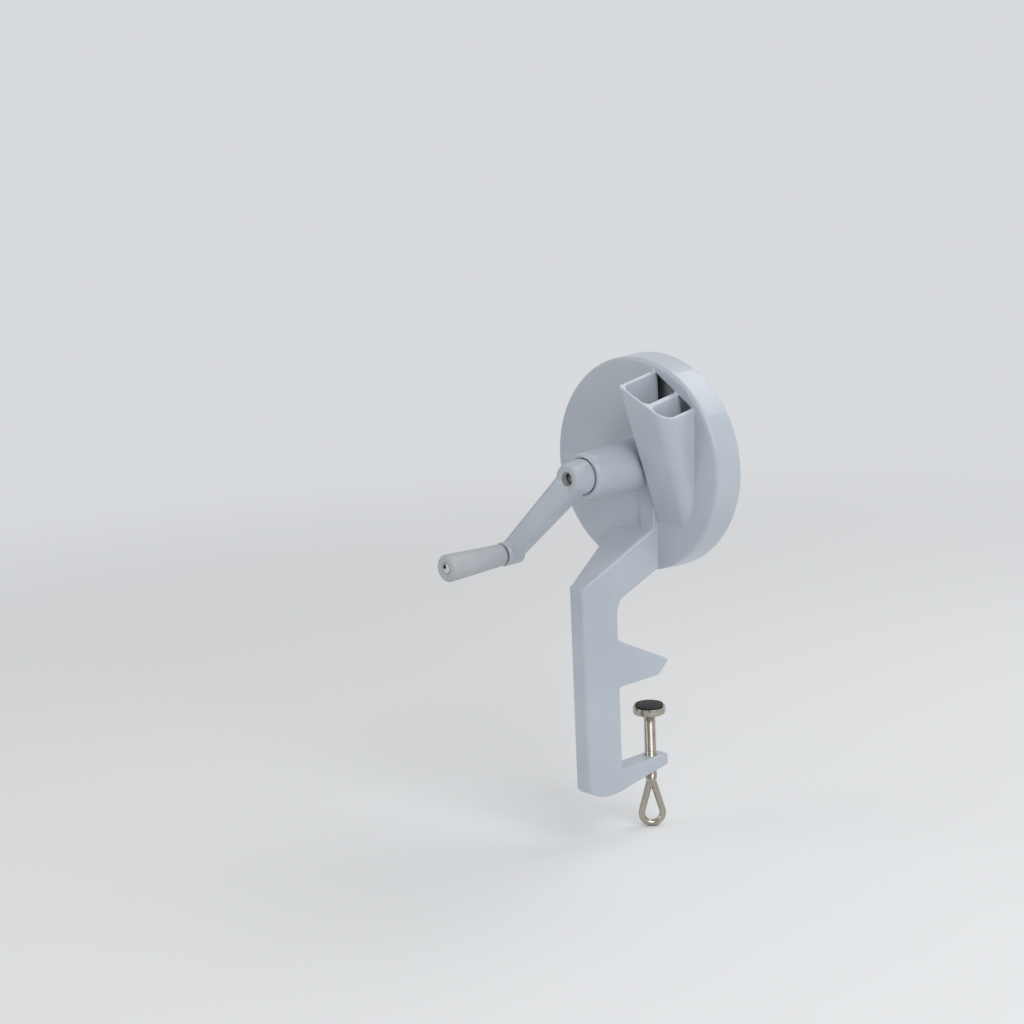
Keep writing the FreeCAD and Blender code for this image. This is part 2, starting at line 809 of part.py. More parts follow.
def make_clamp_pad():
    """Round cup that turns on the screw's tip, with a socket for it."""
    pad_top = pad_top_z - pad_facing_thickness
    cup = Part.makeCylinder(pad_radius, pad_height, V(0, screw_y, pad_bottom_z), Z_AXIS)
    lower_edges = [edge for edge in cup.Edges if edge.BoundBox.ZMax < pad_bottom_z + 0.01]
    cup = cup.makeFillet(pad_round, lower_edges)
    neck_hole = z_rod(screw_neck_radius + pad_clearance, pad_bottom_z, pad_top)
    socket = z_rod(pad_socket_radius, pad_bottom_z + screw_neck_length - pad_clearance, pad_top)
    return cup.cut(neck_hole).cut(socket)


def make_pad_facing():
    """Disc that faces the pad and spares the table."""
    radius = pad_radius - pad_facing_inset
    return z_rod(radius, pad_top_z - pad_facing_thickness, pad_top_z)


os.makedirs("parts", exist_ok=True)
save("body_casting", make_body_casting())
save("front_bush", make_bush(recess_floor_y))
save("rear_bush", make_bush(plate_thickness - bush_length))
save("front_thrust_washer", make_thrust_washer(front_washer_y))
save("rear_thrust_washer", make_thrust_washer(rear_washer_y))
save("drive_shaft", make_drive_shaft())
save("drive_pin", make_pin_bar(0.0))
save("blade_wheel", make_blade_wheel())
for number, angle in enumerate(knife_angles(), 1):
    save("knife_" + str(number), spin(make_knife(), angle))
save("knife_screws", make_knife_screws())
save("knife_nuts", make_knife_nuts())
save("wheel_washer", make_flat_washer())
save("wheel_spring_washer", make_spring_washer())
save("wheel_nut", make_wheel_nut())
save("crank_arm", make_crank_arm())
save("grip", make_grip())
save("grip_washer", make_grip_washer())
save("grip_pin", make_grip_pin())
save("clamp_screw", make_clamp_screw())
save("clamp_pad", make_clamp_pad())
save("clamp_pad_facing", make_pad_facing())
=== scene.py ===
# %% [markdown]
# # A bean slicer with a crank
#
# This kitchen tool clamps to a table's edge. Beans go into two mouths, a hand turns
# the crank, and three knives on a wheel behind the round plate slice the beans.
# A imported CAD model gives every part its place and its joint. This script keeps
# those places and sizes, and gives each part the skin and finish of the real one.
# Everything is in metres, so a size from a workshop drawing is written times `MM`.

# %% Load the fixed frame
import math

import bmesh
import bpy
from mathutils import Matrix, Vector


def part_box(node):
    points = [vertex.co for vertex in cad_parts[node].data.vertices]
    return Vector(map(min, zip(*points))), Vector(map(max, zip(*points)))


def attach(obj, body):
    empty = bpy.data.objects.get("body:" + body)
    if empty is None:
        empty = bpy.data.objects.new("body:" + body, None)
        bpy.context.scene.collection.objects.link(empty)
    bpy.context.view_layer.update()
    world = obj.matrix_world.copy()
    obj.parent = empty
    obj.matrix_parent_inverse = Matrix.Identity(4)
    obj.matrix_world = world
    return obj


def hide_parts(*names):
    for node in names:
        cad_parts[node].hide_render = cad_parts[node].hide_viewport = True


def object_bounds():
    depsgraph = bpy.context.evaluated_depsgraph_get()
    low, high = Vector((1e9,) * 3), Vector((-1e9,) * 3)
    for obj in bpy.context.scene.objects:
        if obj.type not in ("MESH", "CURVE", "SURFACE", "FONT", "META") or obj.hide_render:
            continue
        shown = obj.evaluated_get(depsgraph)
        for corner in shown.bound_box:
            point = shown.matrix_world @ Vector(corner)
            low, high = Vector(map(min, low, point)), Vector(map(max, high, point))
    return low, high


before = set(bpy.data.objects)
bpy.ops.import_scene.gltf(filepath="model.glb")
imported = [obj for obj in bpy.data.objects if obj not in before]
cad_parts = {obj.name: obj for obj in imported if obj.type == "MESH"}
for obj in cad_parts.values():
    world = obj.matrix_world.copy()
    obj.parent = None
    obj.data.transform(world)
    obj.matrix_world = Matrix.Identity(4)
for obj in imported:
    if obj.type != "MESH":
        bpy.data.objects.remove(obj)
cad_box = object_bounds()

MM = 0.001

# %% [markdown]
# ## Places read from the frame
#
# The shaft's axis runs along Y. Its height, the grip's own axis and the faces along
# them are measured on the CAD nodes, so nothing here has to be typed twice.

# %% Axes and faces
def middle(node):
    low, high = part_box(node)
    return (low + high) / 2


shaft_axis = middle("rear_bush")
grip_axis = middle("grip")
shaft_low, shaft_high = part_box("drive_shaft")
nut_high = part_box("wheel_nut")[1]
pad_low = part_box("clamp_pad")[0]
print("shaft axis at", [round(v, 4) for v in shaft_axis])

# %% [markdown]
# ## Colours
#
# A colour is written as the sRGB hex value that a paint chart or a screen would give.
# Shaders work in linear light, so one function turns it.

# %% From sRGB hex to linear light
def linear(hex_colour):
    """Linear red, green, blue and alpha of a colour such as '#a0b0c0'."""
    shares = [int(hex_colour[at:at + 2], 16) / 255 for at in (1, 3, 5)]
    lit = [s / 12.92 if s <= 0.04045 else ((s + 0.055) / 1.055) ** 2.4 for s in shares]
    return lit + [1.0]


# %% [markdown]
# ## Building materials from nodes
#
# `add` makes one node, sets its properties and fills its inputs: an input gets either
# a plain value or a link from another node's socket. `start_material` lays down the
# shader and hands back the object coordinates, which every pattern here is drawn on.

# %% One helper for all nodes
def add(tree, kind, inputs=None, **settings):
    """A new node with its settings, and its inputs as values or links."""
    node = tree.nodes.new(kind)
    for name, value in settings.items():
        setattr(node, name, value)
    for socket, value in (inputs or {}).items():
        if isinstance(value, bpy.types.NodeSocket):
            tree.links.new(value, node.inputs[socket])
        else:
            node.inputs[socket].default_value = value
    return node


def start_material(name, **constants):
    """A material with its shader. Returns both, the node tree and the coordinates."""
    material = bpy.data.materials.new(name)
    material.use_nodes = True
    tree = material.node_tree
    tree.nodes.clear()
    inputs = {socket.replace("_", " "): value for socket, value in constants.items()}
    shader = add(tree, "ShaderNodeBsdfPrincipled", inputs)
    add(tree, "ShaderNodeOutputMaterial", {"Surface": shader.outputs["BSDF"]})
    place = add(tree, "ShaderNodeTexCoord").outputs["Object"]
    return material, tree, shader, place


# %% [markdown]
# Most finishes need the same things: soft spots that raise or lower a value, a mix of
# two colours, and a bump. A spot's size is a real size in millimetres. Edges and inner
# corners are found in two ways: by the skin's bend on a part of few faces, and by how
# near other skin is on a dense casting.

# %% Spots, colour mixes and bumps
def spots(tree, place, size_mm, low, high, detail=2.0):
    """Soft noise with spots of a real size, spread from low to high."""
    noise = add(tree, "ShaderNodeTexNoise", {
        "Vector": place, "Scale": 1 / (size_mm * MM), "Detail": detail, "Roughness": 0.5})
    spread = add(tree, "ShaderNodeMapRange", {
        "Value": noise.outputs["Fac"], "From Min": 0.3, "From Max": 0.7,
        "To Min": low, "To Max": high}, clamp=False)
    return spread.outputs["Result"]


def blend(tree, share, first, second):
    """The first colour where the share is 0, and the second where it is 1."""
    mix = add(tree, "ShaderNodeMix", data_type="RGBA", clamp_factor=True)
    for index, value in ((0, share), (6, first), (7, second)):
        if isinstance(value, bpy.types.NodeSocket):
            tree.links.new(value, mix.inputs[index])
        else:
            mix.inputs[index].default_value = value
    return mix.outputs[2]


def edges_and_corners(tree, start, end):
    """Share from 0 to 1 where the skin bends outwards (start below end) or inwards (above)."""
    bend = add(tree, "ShaderNodeNewGeometry").outputs["Pointiness"]
    spread = add(tree, "ShaderNodeMapRange", {
        "Value": bend, "From Min": start, "From Max": end}, interpolation_type="SMOOTHSTEP")
    return spread.outputs["Result"]


def nearness(tree, reach_mm, inside, open_share, closed_share):
    """Share from 0 to 1 at inner corners, or at outer edges when it looks inside the metal."""
    shade = add(tree, "ShaderNodeAmbientOcclusion", {"Distance": reach_mm * MM},
                samples=6, only_local=True, inside=inside)
    spread = add(tree, "ShaderNodeMapRange", {
        "Value": shade.outputs["AO"], "From Min": open_share, "From Max": closed_share},
        interpolation_type="SMOOTHSTEP")
    return spread.outputs["Result"]


def bump(tree, shader, height, depth_mm, strength, below=None):
    """Raises the skin by a height from 0 to 1 times a real depth, on top of a bump below."""
    inputs = {"Height": height, "Distance": depth_mm * MM, "Strength": strength}
    if below is not None:
        inputs["Normal"] = below
    normal = add(tree, "ShaderNodeBump", inputs).outputs["Normal"]
    tree.links.new(normal, shader.inputs["Normal"])
    return normal


# %% [markdown]
# ## Grey-blue stoved coating
#
# The body and the crank are die-cast aluminium under a sprayed and stoved coating.
# It is a dielectric skin about 80 micrometres thick: half gloss, with a faint, even
# orange peel where the spray didn't flow quite flat, over the casting's own low waves.
# Sharp edges are lighter: this is a painted highlight, and in part the coat, which is
# thinner there. The inner corners are darkened with painted shade. The real peel is
# about 1 mm wide and is drawn at 1.8 mm, and at 1.5 mm on the smaller crank, because
# a finer one is lost in the render.

# %% Stoved coating, sprayed on die-cast aluminium
def stoved_coating(name, light, dark, edge, peel_mm):
    """Half-gloss coat of two close tones, with a painted highlight on edges and painted shade in
    inner corners.
    """
    material, tree, shader, place = start_material(
        name, IOR=1.5, Coat_Weight=0.25, Coat_Roughness=0.12)
    broad = spots(tree, place, 42, 0.0, 1.0)
    colour = blend(tree, broad, linear(light), linear(dark))
    # painted highlight on sharp edges, in part also the thinner coat there
    edge_wear_and_highlight = nearness(tree, reach_mm=1.2, inside=True, open_share=0.9, closed_share=0.4)
    colour = blend(tree, edge_wear_and_highlight, colour, linear(edge))
    # painted shade: inner corners are darkened towards #7b868f by how near other skin is
    corner_shade = nearness(tree, reach_mm=5.0, inside=False, open_share=0.75, closed_share=0.3)
    corner_shade_share = add(tree, "ShaderNodeMath", {0: corner_shade, 1: 0.45}, operation="MULTIPLY").outputs[0]
    colour = blend(tree, corner_shade_share, colour, linear("#7b868f"))
    tree.links.new(colour, shader.inputs["Base Color"])
    gloss = spots(tree, place, 9, 0.295, 0.335, detail=1.0)
    tree.links.new(gloss, shader.inputs["Roughness"])
    low_waves = spots(tree, place, 14, 0.0, 1.0, detail=0.0)
    waves = bump(tree, shader, low_waves, depth_mm=0.12, strength=0.25)
    peel = spots(tree, place, peel_mm, 0.0, 1.0, detail=0.0)
    bump(tree, shader, peel, depth_mm=0.02, strength=0.3, below=waves)
    return material


# edge is the colour of the painted highlight on sharp edges
body_coating = stoved_coating(
    "stoved_coating_body", light="#b9c1ca", dark="#b2bac4", edge="#c8ced5", peel_mm=1.8)
crank_coating = stoved_coating(
    "stoved_coating_crank", light="#b2bac3", dark="#abb3bc", edge="#c3cad1", peel_mm=1.5)
print("coatings made")

# %% [markdown]
# ## Metals
#
# A metal's colour is its reflection, so its shader is fully metallic and its base
# colour is light. What tells them apart is the surface that the workshop left:
# a sand-like cast skin, rings from a lathe, long strokes from a grinding wheel,
# or a bright plated layer.

# %% Bare die-cast aluminium
def cast_aluminium():
    """Skin of a tumbled casting: soft grain, dull hollows and rubbed, brighter edges."""
    material, tree, shader, place = start_material("die_cast_aluminium", Metallic=1.0)
    clouds = spots(tree, place, 12, 0.0, 1.0, detail=4.0)
    colour = blend(tree, clouds, linear("#b4b6b6"), linear("#a3a5a6"))
    colour = blend(tree, edges_and_corners(tree, 0.53, 0.6), colour, linear("#d0d2d2"))
    colour = blend(tree, edges_and_corners(tree, 0.48, 0.4), colour, linear("#77797b"))
    tree.links.new(colour, shader.inputs["Base Color"])
    tree.links.new(spots(tree, place, 5, 0.4, 0.56, detail=4.0), shader.inputs["Roughness"])
    # the real grain is about 0.3 mm and is drawn at 0.7 mm so that it shows
    grain = spots(tree, place, 0.7, 0.0, 1.0, detail=3.0)
    bump(tree, shader, grain, depth_mm=0.06, strength=0.35)
    return material


wheel_metal = cast_aluminium()

# %% [markdown]
# A lathe leaves rings on a face and fine threads of the same pitch along a bar.
# Both come from one wave: the distance from the axis plus the place along it.
# A Mapping node moves the axis to the part's own centre.

# %% Turned metals: rings on faces, fine lines along bars
def turned_metal(name, light, dark, centre, feed_mm, smooth, rough):
    """Metal from a lathe, with its feed marks round the axis through centre, along Y."""
    material, tree, shader, place = start_material(name, Metallic=1.0)
    centred = add(tree, "ShaderNodeMapping", {
        "Vector": place, "Location": (-centre.x, 0, -centre.z)}).outputs["Vector"]
    flat = add(tree, "ShaderNodeVectorMath", {
        0: centred, 1: (1, 0, 1)}, operation="MULTIPLY").outputs[0]
    radius = add(tree, "ShaderNodeVectorMath", {0: flat}, operation="LENGTH").outputs["Value"]
    along = add(tree, "ShaderNodeSeparateXYZ", {"Vector": centred}).outputs["Y"]
    travel = add(tree, "ShaderNodeMath", {0: radius, 1: along}, operation="ADD").outputs[0]
    turns = add(tree, "ShaderNodeMath", {
        0: travel, 1: 2 * math.pi / (feed_mm * MM)}, operation="MULTIPLY").outputs[0]
    ridges = add(tree, "ShaderNodeMath", {0: turns}, operation="SINE").outputs[0]
    colour = blend(tree, spots(tree, place, 4, 0.0, 1.0, detail=4.0), linear(light), linear(dark))
    tree.links.new(colour, shader.inputs["Base Color"])
    tree.links.new(spots(tree, place, 2.5, smooth, rough, detail=4.0), shader.inputs["Roughness"])
    grain = bump(tree, shader, spots(tree, place, 0.4, 0.0, 1.0), depth_mm=0.01, strength=0.15)
    bump(tree, shader, ridges, depth_mm=0.012, strength=0.35, below=grain)
    return material


shaft_steel = turned_metal(
    "turned_steel", "#bdbfc1", "#a9abad", shaft_axis, feed_mm=0.35, smooth=0.2, rough=0.34)
bronze = turned_metal(
    "sintered_bronze", "#b98f58", "#9b7443", shaft_axis, feed_mm=0.5, smooth=0.34, rough=0.5)
print("turned metals made")

# %% [markdown]
# A knife is flat stainless steel, ground on its face. The grinding strokes run along
# the wheel's travel, across the blade, so the noise is stretched thirty times that
# way. The real strokes are about 0.1 mm wide and are drawn at 0.3 mm. Each knife sits
# at its own angle, so its Mapping node turns the strokes too.

# %% Ground stainless steel for the knives
stroke_stretch = 30


def ground_steel(name, angle):
    """Stainless steel with grinding strokes across a knife at an angle round the shaft."""
    material, tree, shader, place = start_material(name, Metallic=1.0)
    centred = add(tree, "ShaderNodeMapping", {
        "Vector": place, "Location": (-shaft_axis.x, 0, -shaft_axis.z)}).outputs["Vector"]
    turned = add(tree, "ShaderNodeMapping", {
        "Vector": centred, "Rotation": (0, -angle, 0)}).outputs["Vector"]
    strokes_place = add(tree, "ShaderNodeMapping", {
        "Vector": turned, "Scale": (1 / stroke_stretch, 1, 1)}).outputs["Vector"]
    strokes = spots(tree, strokes_place, 0.3, 0.0, 1.0, detail=4.0)
    colour = blend(tree, strokes, linear("#c6c8ca"), linear("#b0b2b5"))
    tree.links.new(colour, shader.inputs["Base Color"])
    tree.links.new(spots(tree, strokes_place, 0.6, 0.16, 0.32), shader.inputs["Roughness"])
    bump(tree, shader, strokes, depth_mm=0.008, strength=0.3)
    return material


# %% [markdown]
# Small screws, nuts and washers are steel under a thin layer of zinc. It is a cool
# grey with slightly warmer clouds, duller than nickel or chrome. The clamp screw is
# nickel, whose yellowish warmth shows beside chrome. The grip's pin has a bright,
# bluish chrome head. Thread roots and the places under heads are darkened with
# painted shade.

# %% Plated steels
hollow_shade_width = 0.12


def plated_steel(name, light, cloud, smooth, rough, hollow_shade_start):
    """Bright plating over steel, with soft clouds, fine pits and painted shade in its hollows."""
    material, tree, shader, place = start_material(name, Metallic=1.0)
    colour = blend(tree, spots(tree, place, 6, 0.0, 1.0, detail=3.0), linear(light), linear(cloud))
    # painted shade: thread roots and the places under heads are darkened towards #4d4842
    hollow_shade = edges_and_corners(tree, hollow_shade_start, hollow_shade_start - hollow_shade_width)
    colour = blend(tree, hollow_shade, colour, linear("#4d4842"))
    tree.links.new(colour, shader.inputs["Base Color"])
    tree.links.new(spots(tree, place, 1.5, smooth, rough, detail=4.0), shader.inputs["Roughness"])
    bump(tree, shader, spots(tree, place, 0.5, 0.0, 1.0), depth_mm=0.008, strength=0.2)
    return material


zinc = plated_steel("zinc_plated_steel", "#c3c6c7", "#b5b6ae", 0.24, 0.4, 0.46)
nickel = plated_steel("nickel_plated_steel", "#bbb5aa", "#a9a297", 0.12, 0.24, 0.44)
chrome = plated_steel("chrome_plated_steel", "#dfe2e5", "#d3d7db", 0.05, 0.1, 0.42)
spring_steel = plated_steel("blackened_spring_steel", "#45464b", "#34353a", 0.36, 0.5, 0.46)
print("plated metals made")

# %% [markdown]
# ## Plastics and rubber
#
# The grip is moulded from light grey ABS. Its mould was spark-eroded, which leaves
# an even, matt grain, and its two halves met in a hairline along the grip. The small
# washer is black acetal. The pad's facing is black rubber, dull and slightly dusty.

# %% Moulded plastics and rubber
def moulded(name, light, dark, smooth, rough, grain_mm, grain_depth_mm, edge_wear_and_highlight=None):
    """Moulded plastic or rubber with an even, fine grain and soft tone changes."""
    material, tree, shader, place = start_material(name, IOR=1.49)
    colour = blend(tree, spots(tree, place, 16, 0.0, 1.0, detail=3.0), linear(light), linear(dark))
    # lighter edges: wear, and a painted highlight on the edges
    if edge_wear_and_highlight:
        colour = blend(tree, edges_and_corners(tree, 0.52, 0.6), colour, linear(edge_wear_and_highlight))
    tree.links.new(colour, shader.inputs["Base Color"])
    tree.links.new(spots(tree, place, 3, smooth, rough, detail=4.0), shader.inputs["Roughness"])
    grain = spots(tree, place, grain_mm, 0.0, 1.0, detail=1.0)
    normal = bump(tree, shader, grain, grain_depth_mm, strength=0.3)
    return material, tree, shader, place, normal


# the real grain is about 0.15 mm and is drawn at 0.5 mm so that it shows
grip_abs, grip_tree, grip_shader, grip_place, grip_normal = moulded(
    "moulded_abs_grip", "#b4b7bc", "#abaeb3", 0.42, 0.54, 0.5, 0.02, "#c2c5c9")
acetal = moulded("black_acetal", "#2a2b2e", "#222326", 0.38, 0.5, 0.5, 0.02)[0]
rubber = moulded("black_rubber", "#222222", "#2d2c2b", 0.7, 0.88, 0.8, 0.05, "#3a3938")[0]

# %% [markdown]
# The hairline is where the mould's halves met: a ridge 0.2 mm wide in the grip's
# upright middle plane, so it runs along the top and the underside.

# %% Hairline of the grip's mould
hairline_width = 0.2 * MM
across = add(grip_tree, "ShaderNodeSeparateXYZ", {"Vector": grip_place}).outputs["X"]
offset = add(grip_tree, "ShaderNodeMath", {
    0: across, 1: grip_axis.x}, operation="SUBTRACT").outputs[0]
distance = add(grip_tree, "ShaderNodeMath", {0: offset}, operation="ABSOLUTE").outputs[0]
hairline = add(grip_tree, "ShaderNodeMapRange", {
    "Value": distance, "From Min": 0.0, "From Max": hairline_width, "To Min": 1.0, "To Max": 0.0})
bump(
    grip_tree, grip_shader, hairline.outputs["Result"], depth_mm=0.05, strength=0.5,
    below=grip_normal)
print("plastics made")

# %% [markdown]
# ## From CAD nodes to real skins
#
# A CAD solid has edges without any rounding, and its mesh is loose triangles.
# `merged` copies a node and joins its triangles. Then there are two ways on:
# a casting is given a fresh, even skin whose edges and inner corners are softened,
# and a machined part keeps its flat faces and gets a fine chamfer on its edges.

# %% Copies of nodes, and finished pieces
def merged(node):
    """A bmesh of a CAD node with its triangles joined into one skin."""
    mesh = bmesh.new()
    mesh.from_mesh(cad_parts[node].data)
    bmesh.ops.remove_doubles(mesh, verts=mesh.verts, dist=0.001 * MM)
    return mesh


def mesh_data(name, mesh):
    """Mesh data of a bmesh, which is freed."""
    data = bpy.data.meshes.new(name)
    mesh.to_mesh(data)
    mesh.free()
    return data


def add_object(name, data):
    """An object of a mesh, a lamp or a camera, put in the scene."""
    item = bpy.data.objects.new(name, data)
    bpy.context.scene.collection.objects.link(item)
    return item


def finish_piece(mesh, name, body, material, nodes=(), sharp_deg=32):
    """Makes a piece of a bmesh: smooth up to its sharp edges, with its finish and body."""
    data = mesh_data(name, mesh)
    data.shade_smooth()
    data.set_sharp_from_angle(angle=math.radians(sharp_deg))
    data.materials.append(material)
    piece = add_object(name, data)
    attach(piece, body)
    if nodes:
        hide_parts(*nodes)
    data.calc_loop_triangles()
    print(name, len(data.loop_triangles), "triangles")


# %% [markdown]
# ### Castings
#
# Molten metal doesn't fill sharp corners, and the coating rounds edges further.
# The copy is remeshed into small even squares, its points are drawn together a few
# times, which rounds edges and fills inner corners by a voxel or two, and the flat
# parts are then thinned, so that only a share of the triangles is kept.

# %% Soft skin of a casting
def cast_skin(mesh, voxel_mm, rounds, keep):
    """The same solid with a fresh skin of small squares, softened and thinned."""
    data = mesh_data("raw_casting", mesh)
    raw = add_object("raw_casting", data)
    skin = raw.modifiers.new("Skin", "REMESH")
    skin.mode = "VOXEL"
    skin.voxel_size = voxel_mm * MM
    soft = raw.modifiers.new("Soften", "SMOOTH")
    soft.factor = 0.5
    soft.iterations = rounds
    thin = raw.modifiers.new("Thin", "DECIMATE")
    thin.ratio = keep
    shown = raw.evaluated_get(bpy.context.evaluated_depsgraph_get())
    skinned = bmesh.new()
    result = bpy.data.meshes.new_from_object(shown)
    skinned.from_mesh(result)
    bpy.data.objects.remove(raw)
    for used in (data, result):
        bpy.data.meshes.remove(used)
    return skinned


finish_piece(
    cast_skin(merged("body_casting"), voxel_mm=0.45, rounds=12, keep=0.19),
    "cast_body", "stand", body_coating, ["body_casting"], sharp_deg=70)
finish_piece(
    cast_skin(merged("crank_arm"), voxel_mm=0.3, rounds=9, keep=0.6),
    "crank_casting", "rotor", crank_coating, ["crank_arm"], sharp_deg=70)
finish_piece(
    cast_skin(merged("blade_wheel"), voxel_mm=0.5, rounds=4, keep=0.5),
    "cast_blade_wheel", "rotor", wheel_metal, ["blade_wheel"], sharp_deg=70)

# %% [markdown]
# ### Machined and moulded parts
#
# Flat triangles are merged into whole faces first, so that the bevel runs along real
# edges only. The bevel is as fine as a file or a tumbling drum would leave it.

# %% Machined copy with a fine chamfer
def machined(mesh, chamfer_mm, sharp_deg=25):
    """Merges flat faces and bevels the edges between faces that meet at an angle."""
    bmesh.ops.dissolve_limit(
        mesh, angle_limit=math.radians(0.5), verts=mesh.verts, edges=mesh.edges)
    edges = [
        edge for edge in mesh.edges
        if len(edge.link_faces) == 2 and edge.calc_face_angle() > math.radians(sharp_deg)
    ]
    bmesh.ops.bevel(
        mesh, geom=edges, offset=chamfer_mm * MM, offset_type="OFFSET", affect="EDGES",
        segments=2, profile=0.5, material=-1, clamp_overlap=True)
    return mesh


# node, body, slot, material and chamfer in millimetres
machined_parts = [
    ("front_bush", "stand", "bearing_bronze", bronze, 0.3),
    ("rear_bush", "stand", "bearing_bronze", bronze, 0.3),
    ("front_thrust_washer", "rotor", "bearing_bronze", bronze, 0.12),
    ("rear_thrust_washer", "rotor", "bearing_bronze", bronze, 0.12),
    ("drive_pin", "rotor", "turned_steel", shaft_steel, 0.25),
    ("wheel_washer", "rotor", "zinc_steel", zinc, 0.2),
    ("wheel_spring_washer", "rotor", "spring_steel", spring_steel, 0.2),
    ("wheel_nut", "rotor", "zinc_steel", zinc, 0.25),
    ("knife_nuts", "rotor", "zinc_steel", zinc, 0.15),
    ("grip_washer", "rotor", "grip_washer_plastic", acetal, 0.15),
    ("clamp_pad", "clamp_pad", "nickel_steel", nickel, 0.25),
    ("clamp_pad_facing", "clamp_pad", "pad_rubber", rubber, 0.3),
]
for node, body, slot, material, chamfer in machined_parts:
    finish_piece(machined(merged(node), chamfer), node + "_piece", body, material, [node])

# %% [markdown]
# Each knife has its own angle round the shaft, found from the middle of its box.

# %% Knives with their grinding strokes
for number in (1, 2, 3):
    node = "knife_" + str(number)
    arm = middle(node) - shaft_axis
    angle = math.atan2(arm.x, arm.z)
    finish_piece(
        machined(merged(node), 0.1), node + "_blade", "rotor",
        ground_steel("ground_stainless_" + str(number), angle), [node])

# %% [markdown]
# ### Threads
#
# A thread is a groove that climbs its pitch in one turn. One pitch of its outline is
# spun round the axis and lifted a little at each step, so after a full turn it meets
# itself. The ends are then cut square, closed, and turned to a small chamfer.

# %% Cuts, and a threaded rod along Z
thread_steps = 32


def cut_square(mesh, place, outwards):
    """Cuts off what lies outwards of a place, and returns the edges of the cut."""
    cut = bmesh.ops.bisect_plane(
        mesh, geom=mesh.verts[:] + mesh.edges[:] + mesh.faces[:], dist=1e-7,
        plane_co=place, plane_no=outwards, clear_outer=True)
    return [item for item in cut["geom_cut"] if isinstance(item, bmesh.types.BMEdge)]


def close_cut(mesh, place, outwards):
    """Cuts a rod with one outline square at a place, and closes it with a face."""
    bmesh.ops.contextual_create(mesh, geom=cut_square(mesh, place, outwards))


def threaded_rod(radius_mm, pitch_mm, depth_mm, length_mm, chamfer_mm=0.0):
    """A closed bmesh of a rod with a real helical thread, from z = 0 upwards."""
    root = (radius_mm - depth_mm) * MM
    crest = radius_mm * MM
    pitch = pitch_mm * MM
    length = length_mm * MM
    # shares of the pitch and radii: root, rise to the crest, flat crest, fall, root
    outline = [(0.0, root), (0.16, root), (0.48, crest), (0.62, crest), (0.94, root), (1.0, root)]
    mesh = bmesh.new()
    points = [mesh.verts.new((r, 0, (share - 1.5) * pitch)) for share, r in outline]
    for first, second in zip(points, points[1:]):
        mesh.edges.new((first, second))
    turns = math.ceil(length_mm / pitch_mm) + 2
    bmesh.ops.spin(
        mesh, geom=mesh.verts[:] + mesh.edges[:], cent=(0, 0, 0), axis=(0, 0, 1),
        dvec=(0, 0, pitch / thread_steps), angle=2 * math.pi * turns,
        steps=turns * thread_steps, use_duplicate=False)
    bmesh.ops.remove_doubles(mesh, verts=mesh.verts, dist=0.005 * MM)
    for height, upwards in ((0.0, -1), (length, 1)):
        close_cut(mesh, (0, 0, height), (0, 0, upwards))
    bmesh.ops.recalc_face_normals(mesh, faces=mesh.faces)
    for point in mesh.verts:
        inside = min(point.co.z, length - point.co.z)
        limit = crest - max(chamfer_mm * MM - inside, 0.0)
        spread = math.hypot(point.co.x, point.co.y)
        if spread > limit:
            point.co.x *= limit / spread
            point.co.y *= limit / spread
    return mesh


def lay_along_y(mesh, centre_x, start_y, centre_z):
    """Turns a rod from Z to Y and moves its start to a place on an axis along Y."""
    quarter_turn = Matrix.Rotation(-math.pi / 2, 3, "X")
    bmesh.ops.rotate(mesh, verts=mesh.verts, cent=(0, 0, 0), matrix=quarter_turn)
    bmesh.ops.translate(mesh, verts=mesh.verts, vec=(centre_x, start_y, centre_z))


# %% [markdown]
# ### Clamp screw
#
# The clamp screw is an M8 rod of 1.25 mm pitch, nickel plated, whose lower end is a
# drop-shaped eye of round bar. The rod is new, with a real thread. The eye is the
# CAD node's own, cut off below the thread and softened where its legs join the rod.

# %% Threaded rod and eye of the clamp screw
rod_radius = 4.0
rod_pitch = 1.25
rod_thread_depth = 0.68
rod_chamfer = 0.5
eye_height = 34.5
eye_overlap = 0.6
rod_low_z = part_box("clamp_screw")[0].z + eye_height * MM
rod_length = (pad_low.z - rod_low_z) / MM
rod_mesh = threaded_rod(rod_radius, rod_pitch, rod_thread_depth, rod_length, rod_chamfer)
bmesh.ops.translate(rod_mesh, verts=rod_mesh.verts, vec=(0, 0, rod_low_z))
finish_piece(rod_mesh, "clamp_thread", "clamp_screw", nickel, ["clamp_screw"], 60)

eye_mesh = merged("clamp_screw")
close_cut(eye_mesh, (0, 0, rod_low_z + eye_overlap * MM), (0, 0, 1))
finish_piece(
    cast_skin(eye_mesh, voxel_mm=0.25, rounds=8, keep=1.0),
    "clamp_screw_eye", "clamp_screw", nickel, (), 70)

# %% [markdown]
# The riveted neck and tip that hold the pad are the top of the same CAD node.

# %% Riveted tip inside the pad
tip_overlap = 0.2
tip_mesh = merged("clamp_screw")
close_cut(tip_mesh, (0, 0, pad_low.z - tip_overlap * MM), (0, 0, -1))
finish_piece(
    machined(tip_mesh, 0.3), "clamp_screw_tip", "clamp_screw", nickel)

# %% [markdown]
# ### Shaft, thread in the hub and knife screws
#
# The shaft is turned steel. Its back end is an M10 thread that sticks out of the nut,
# and its front end is seen deep in the crank's tapped hub, whose bare thread catches
# the light. The knife screws are M4, and their ends stand out of their nuts.

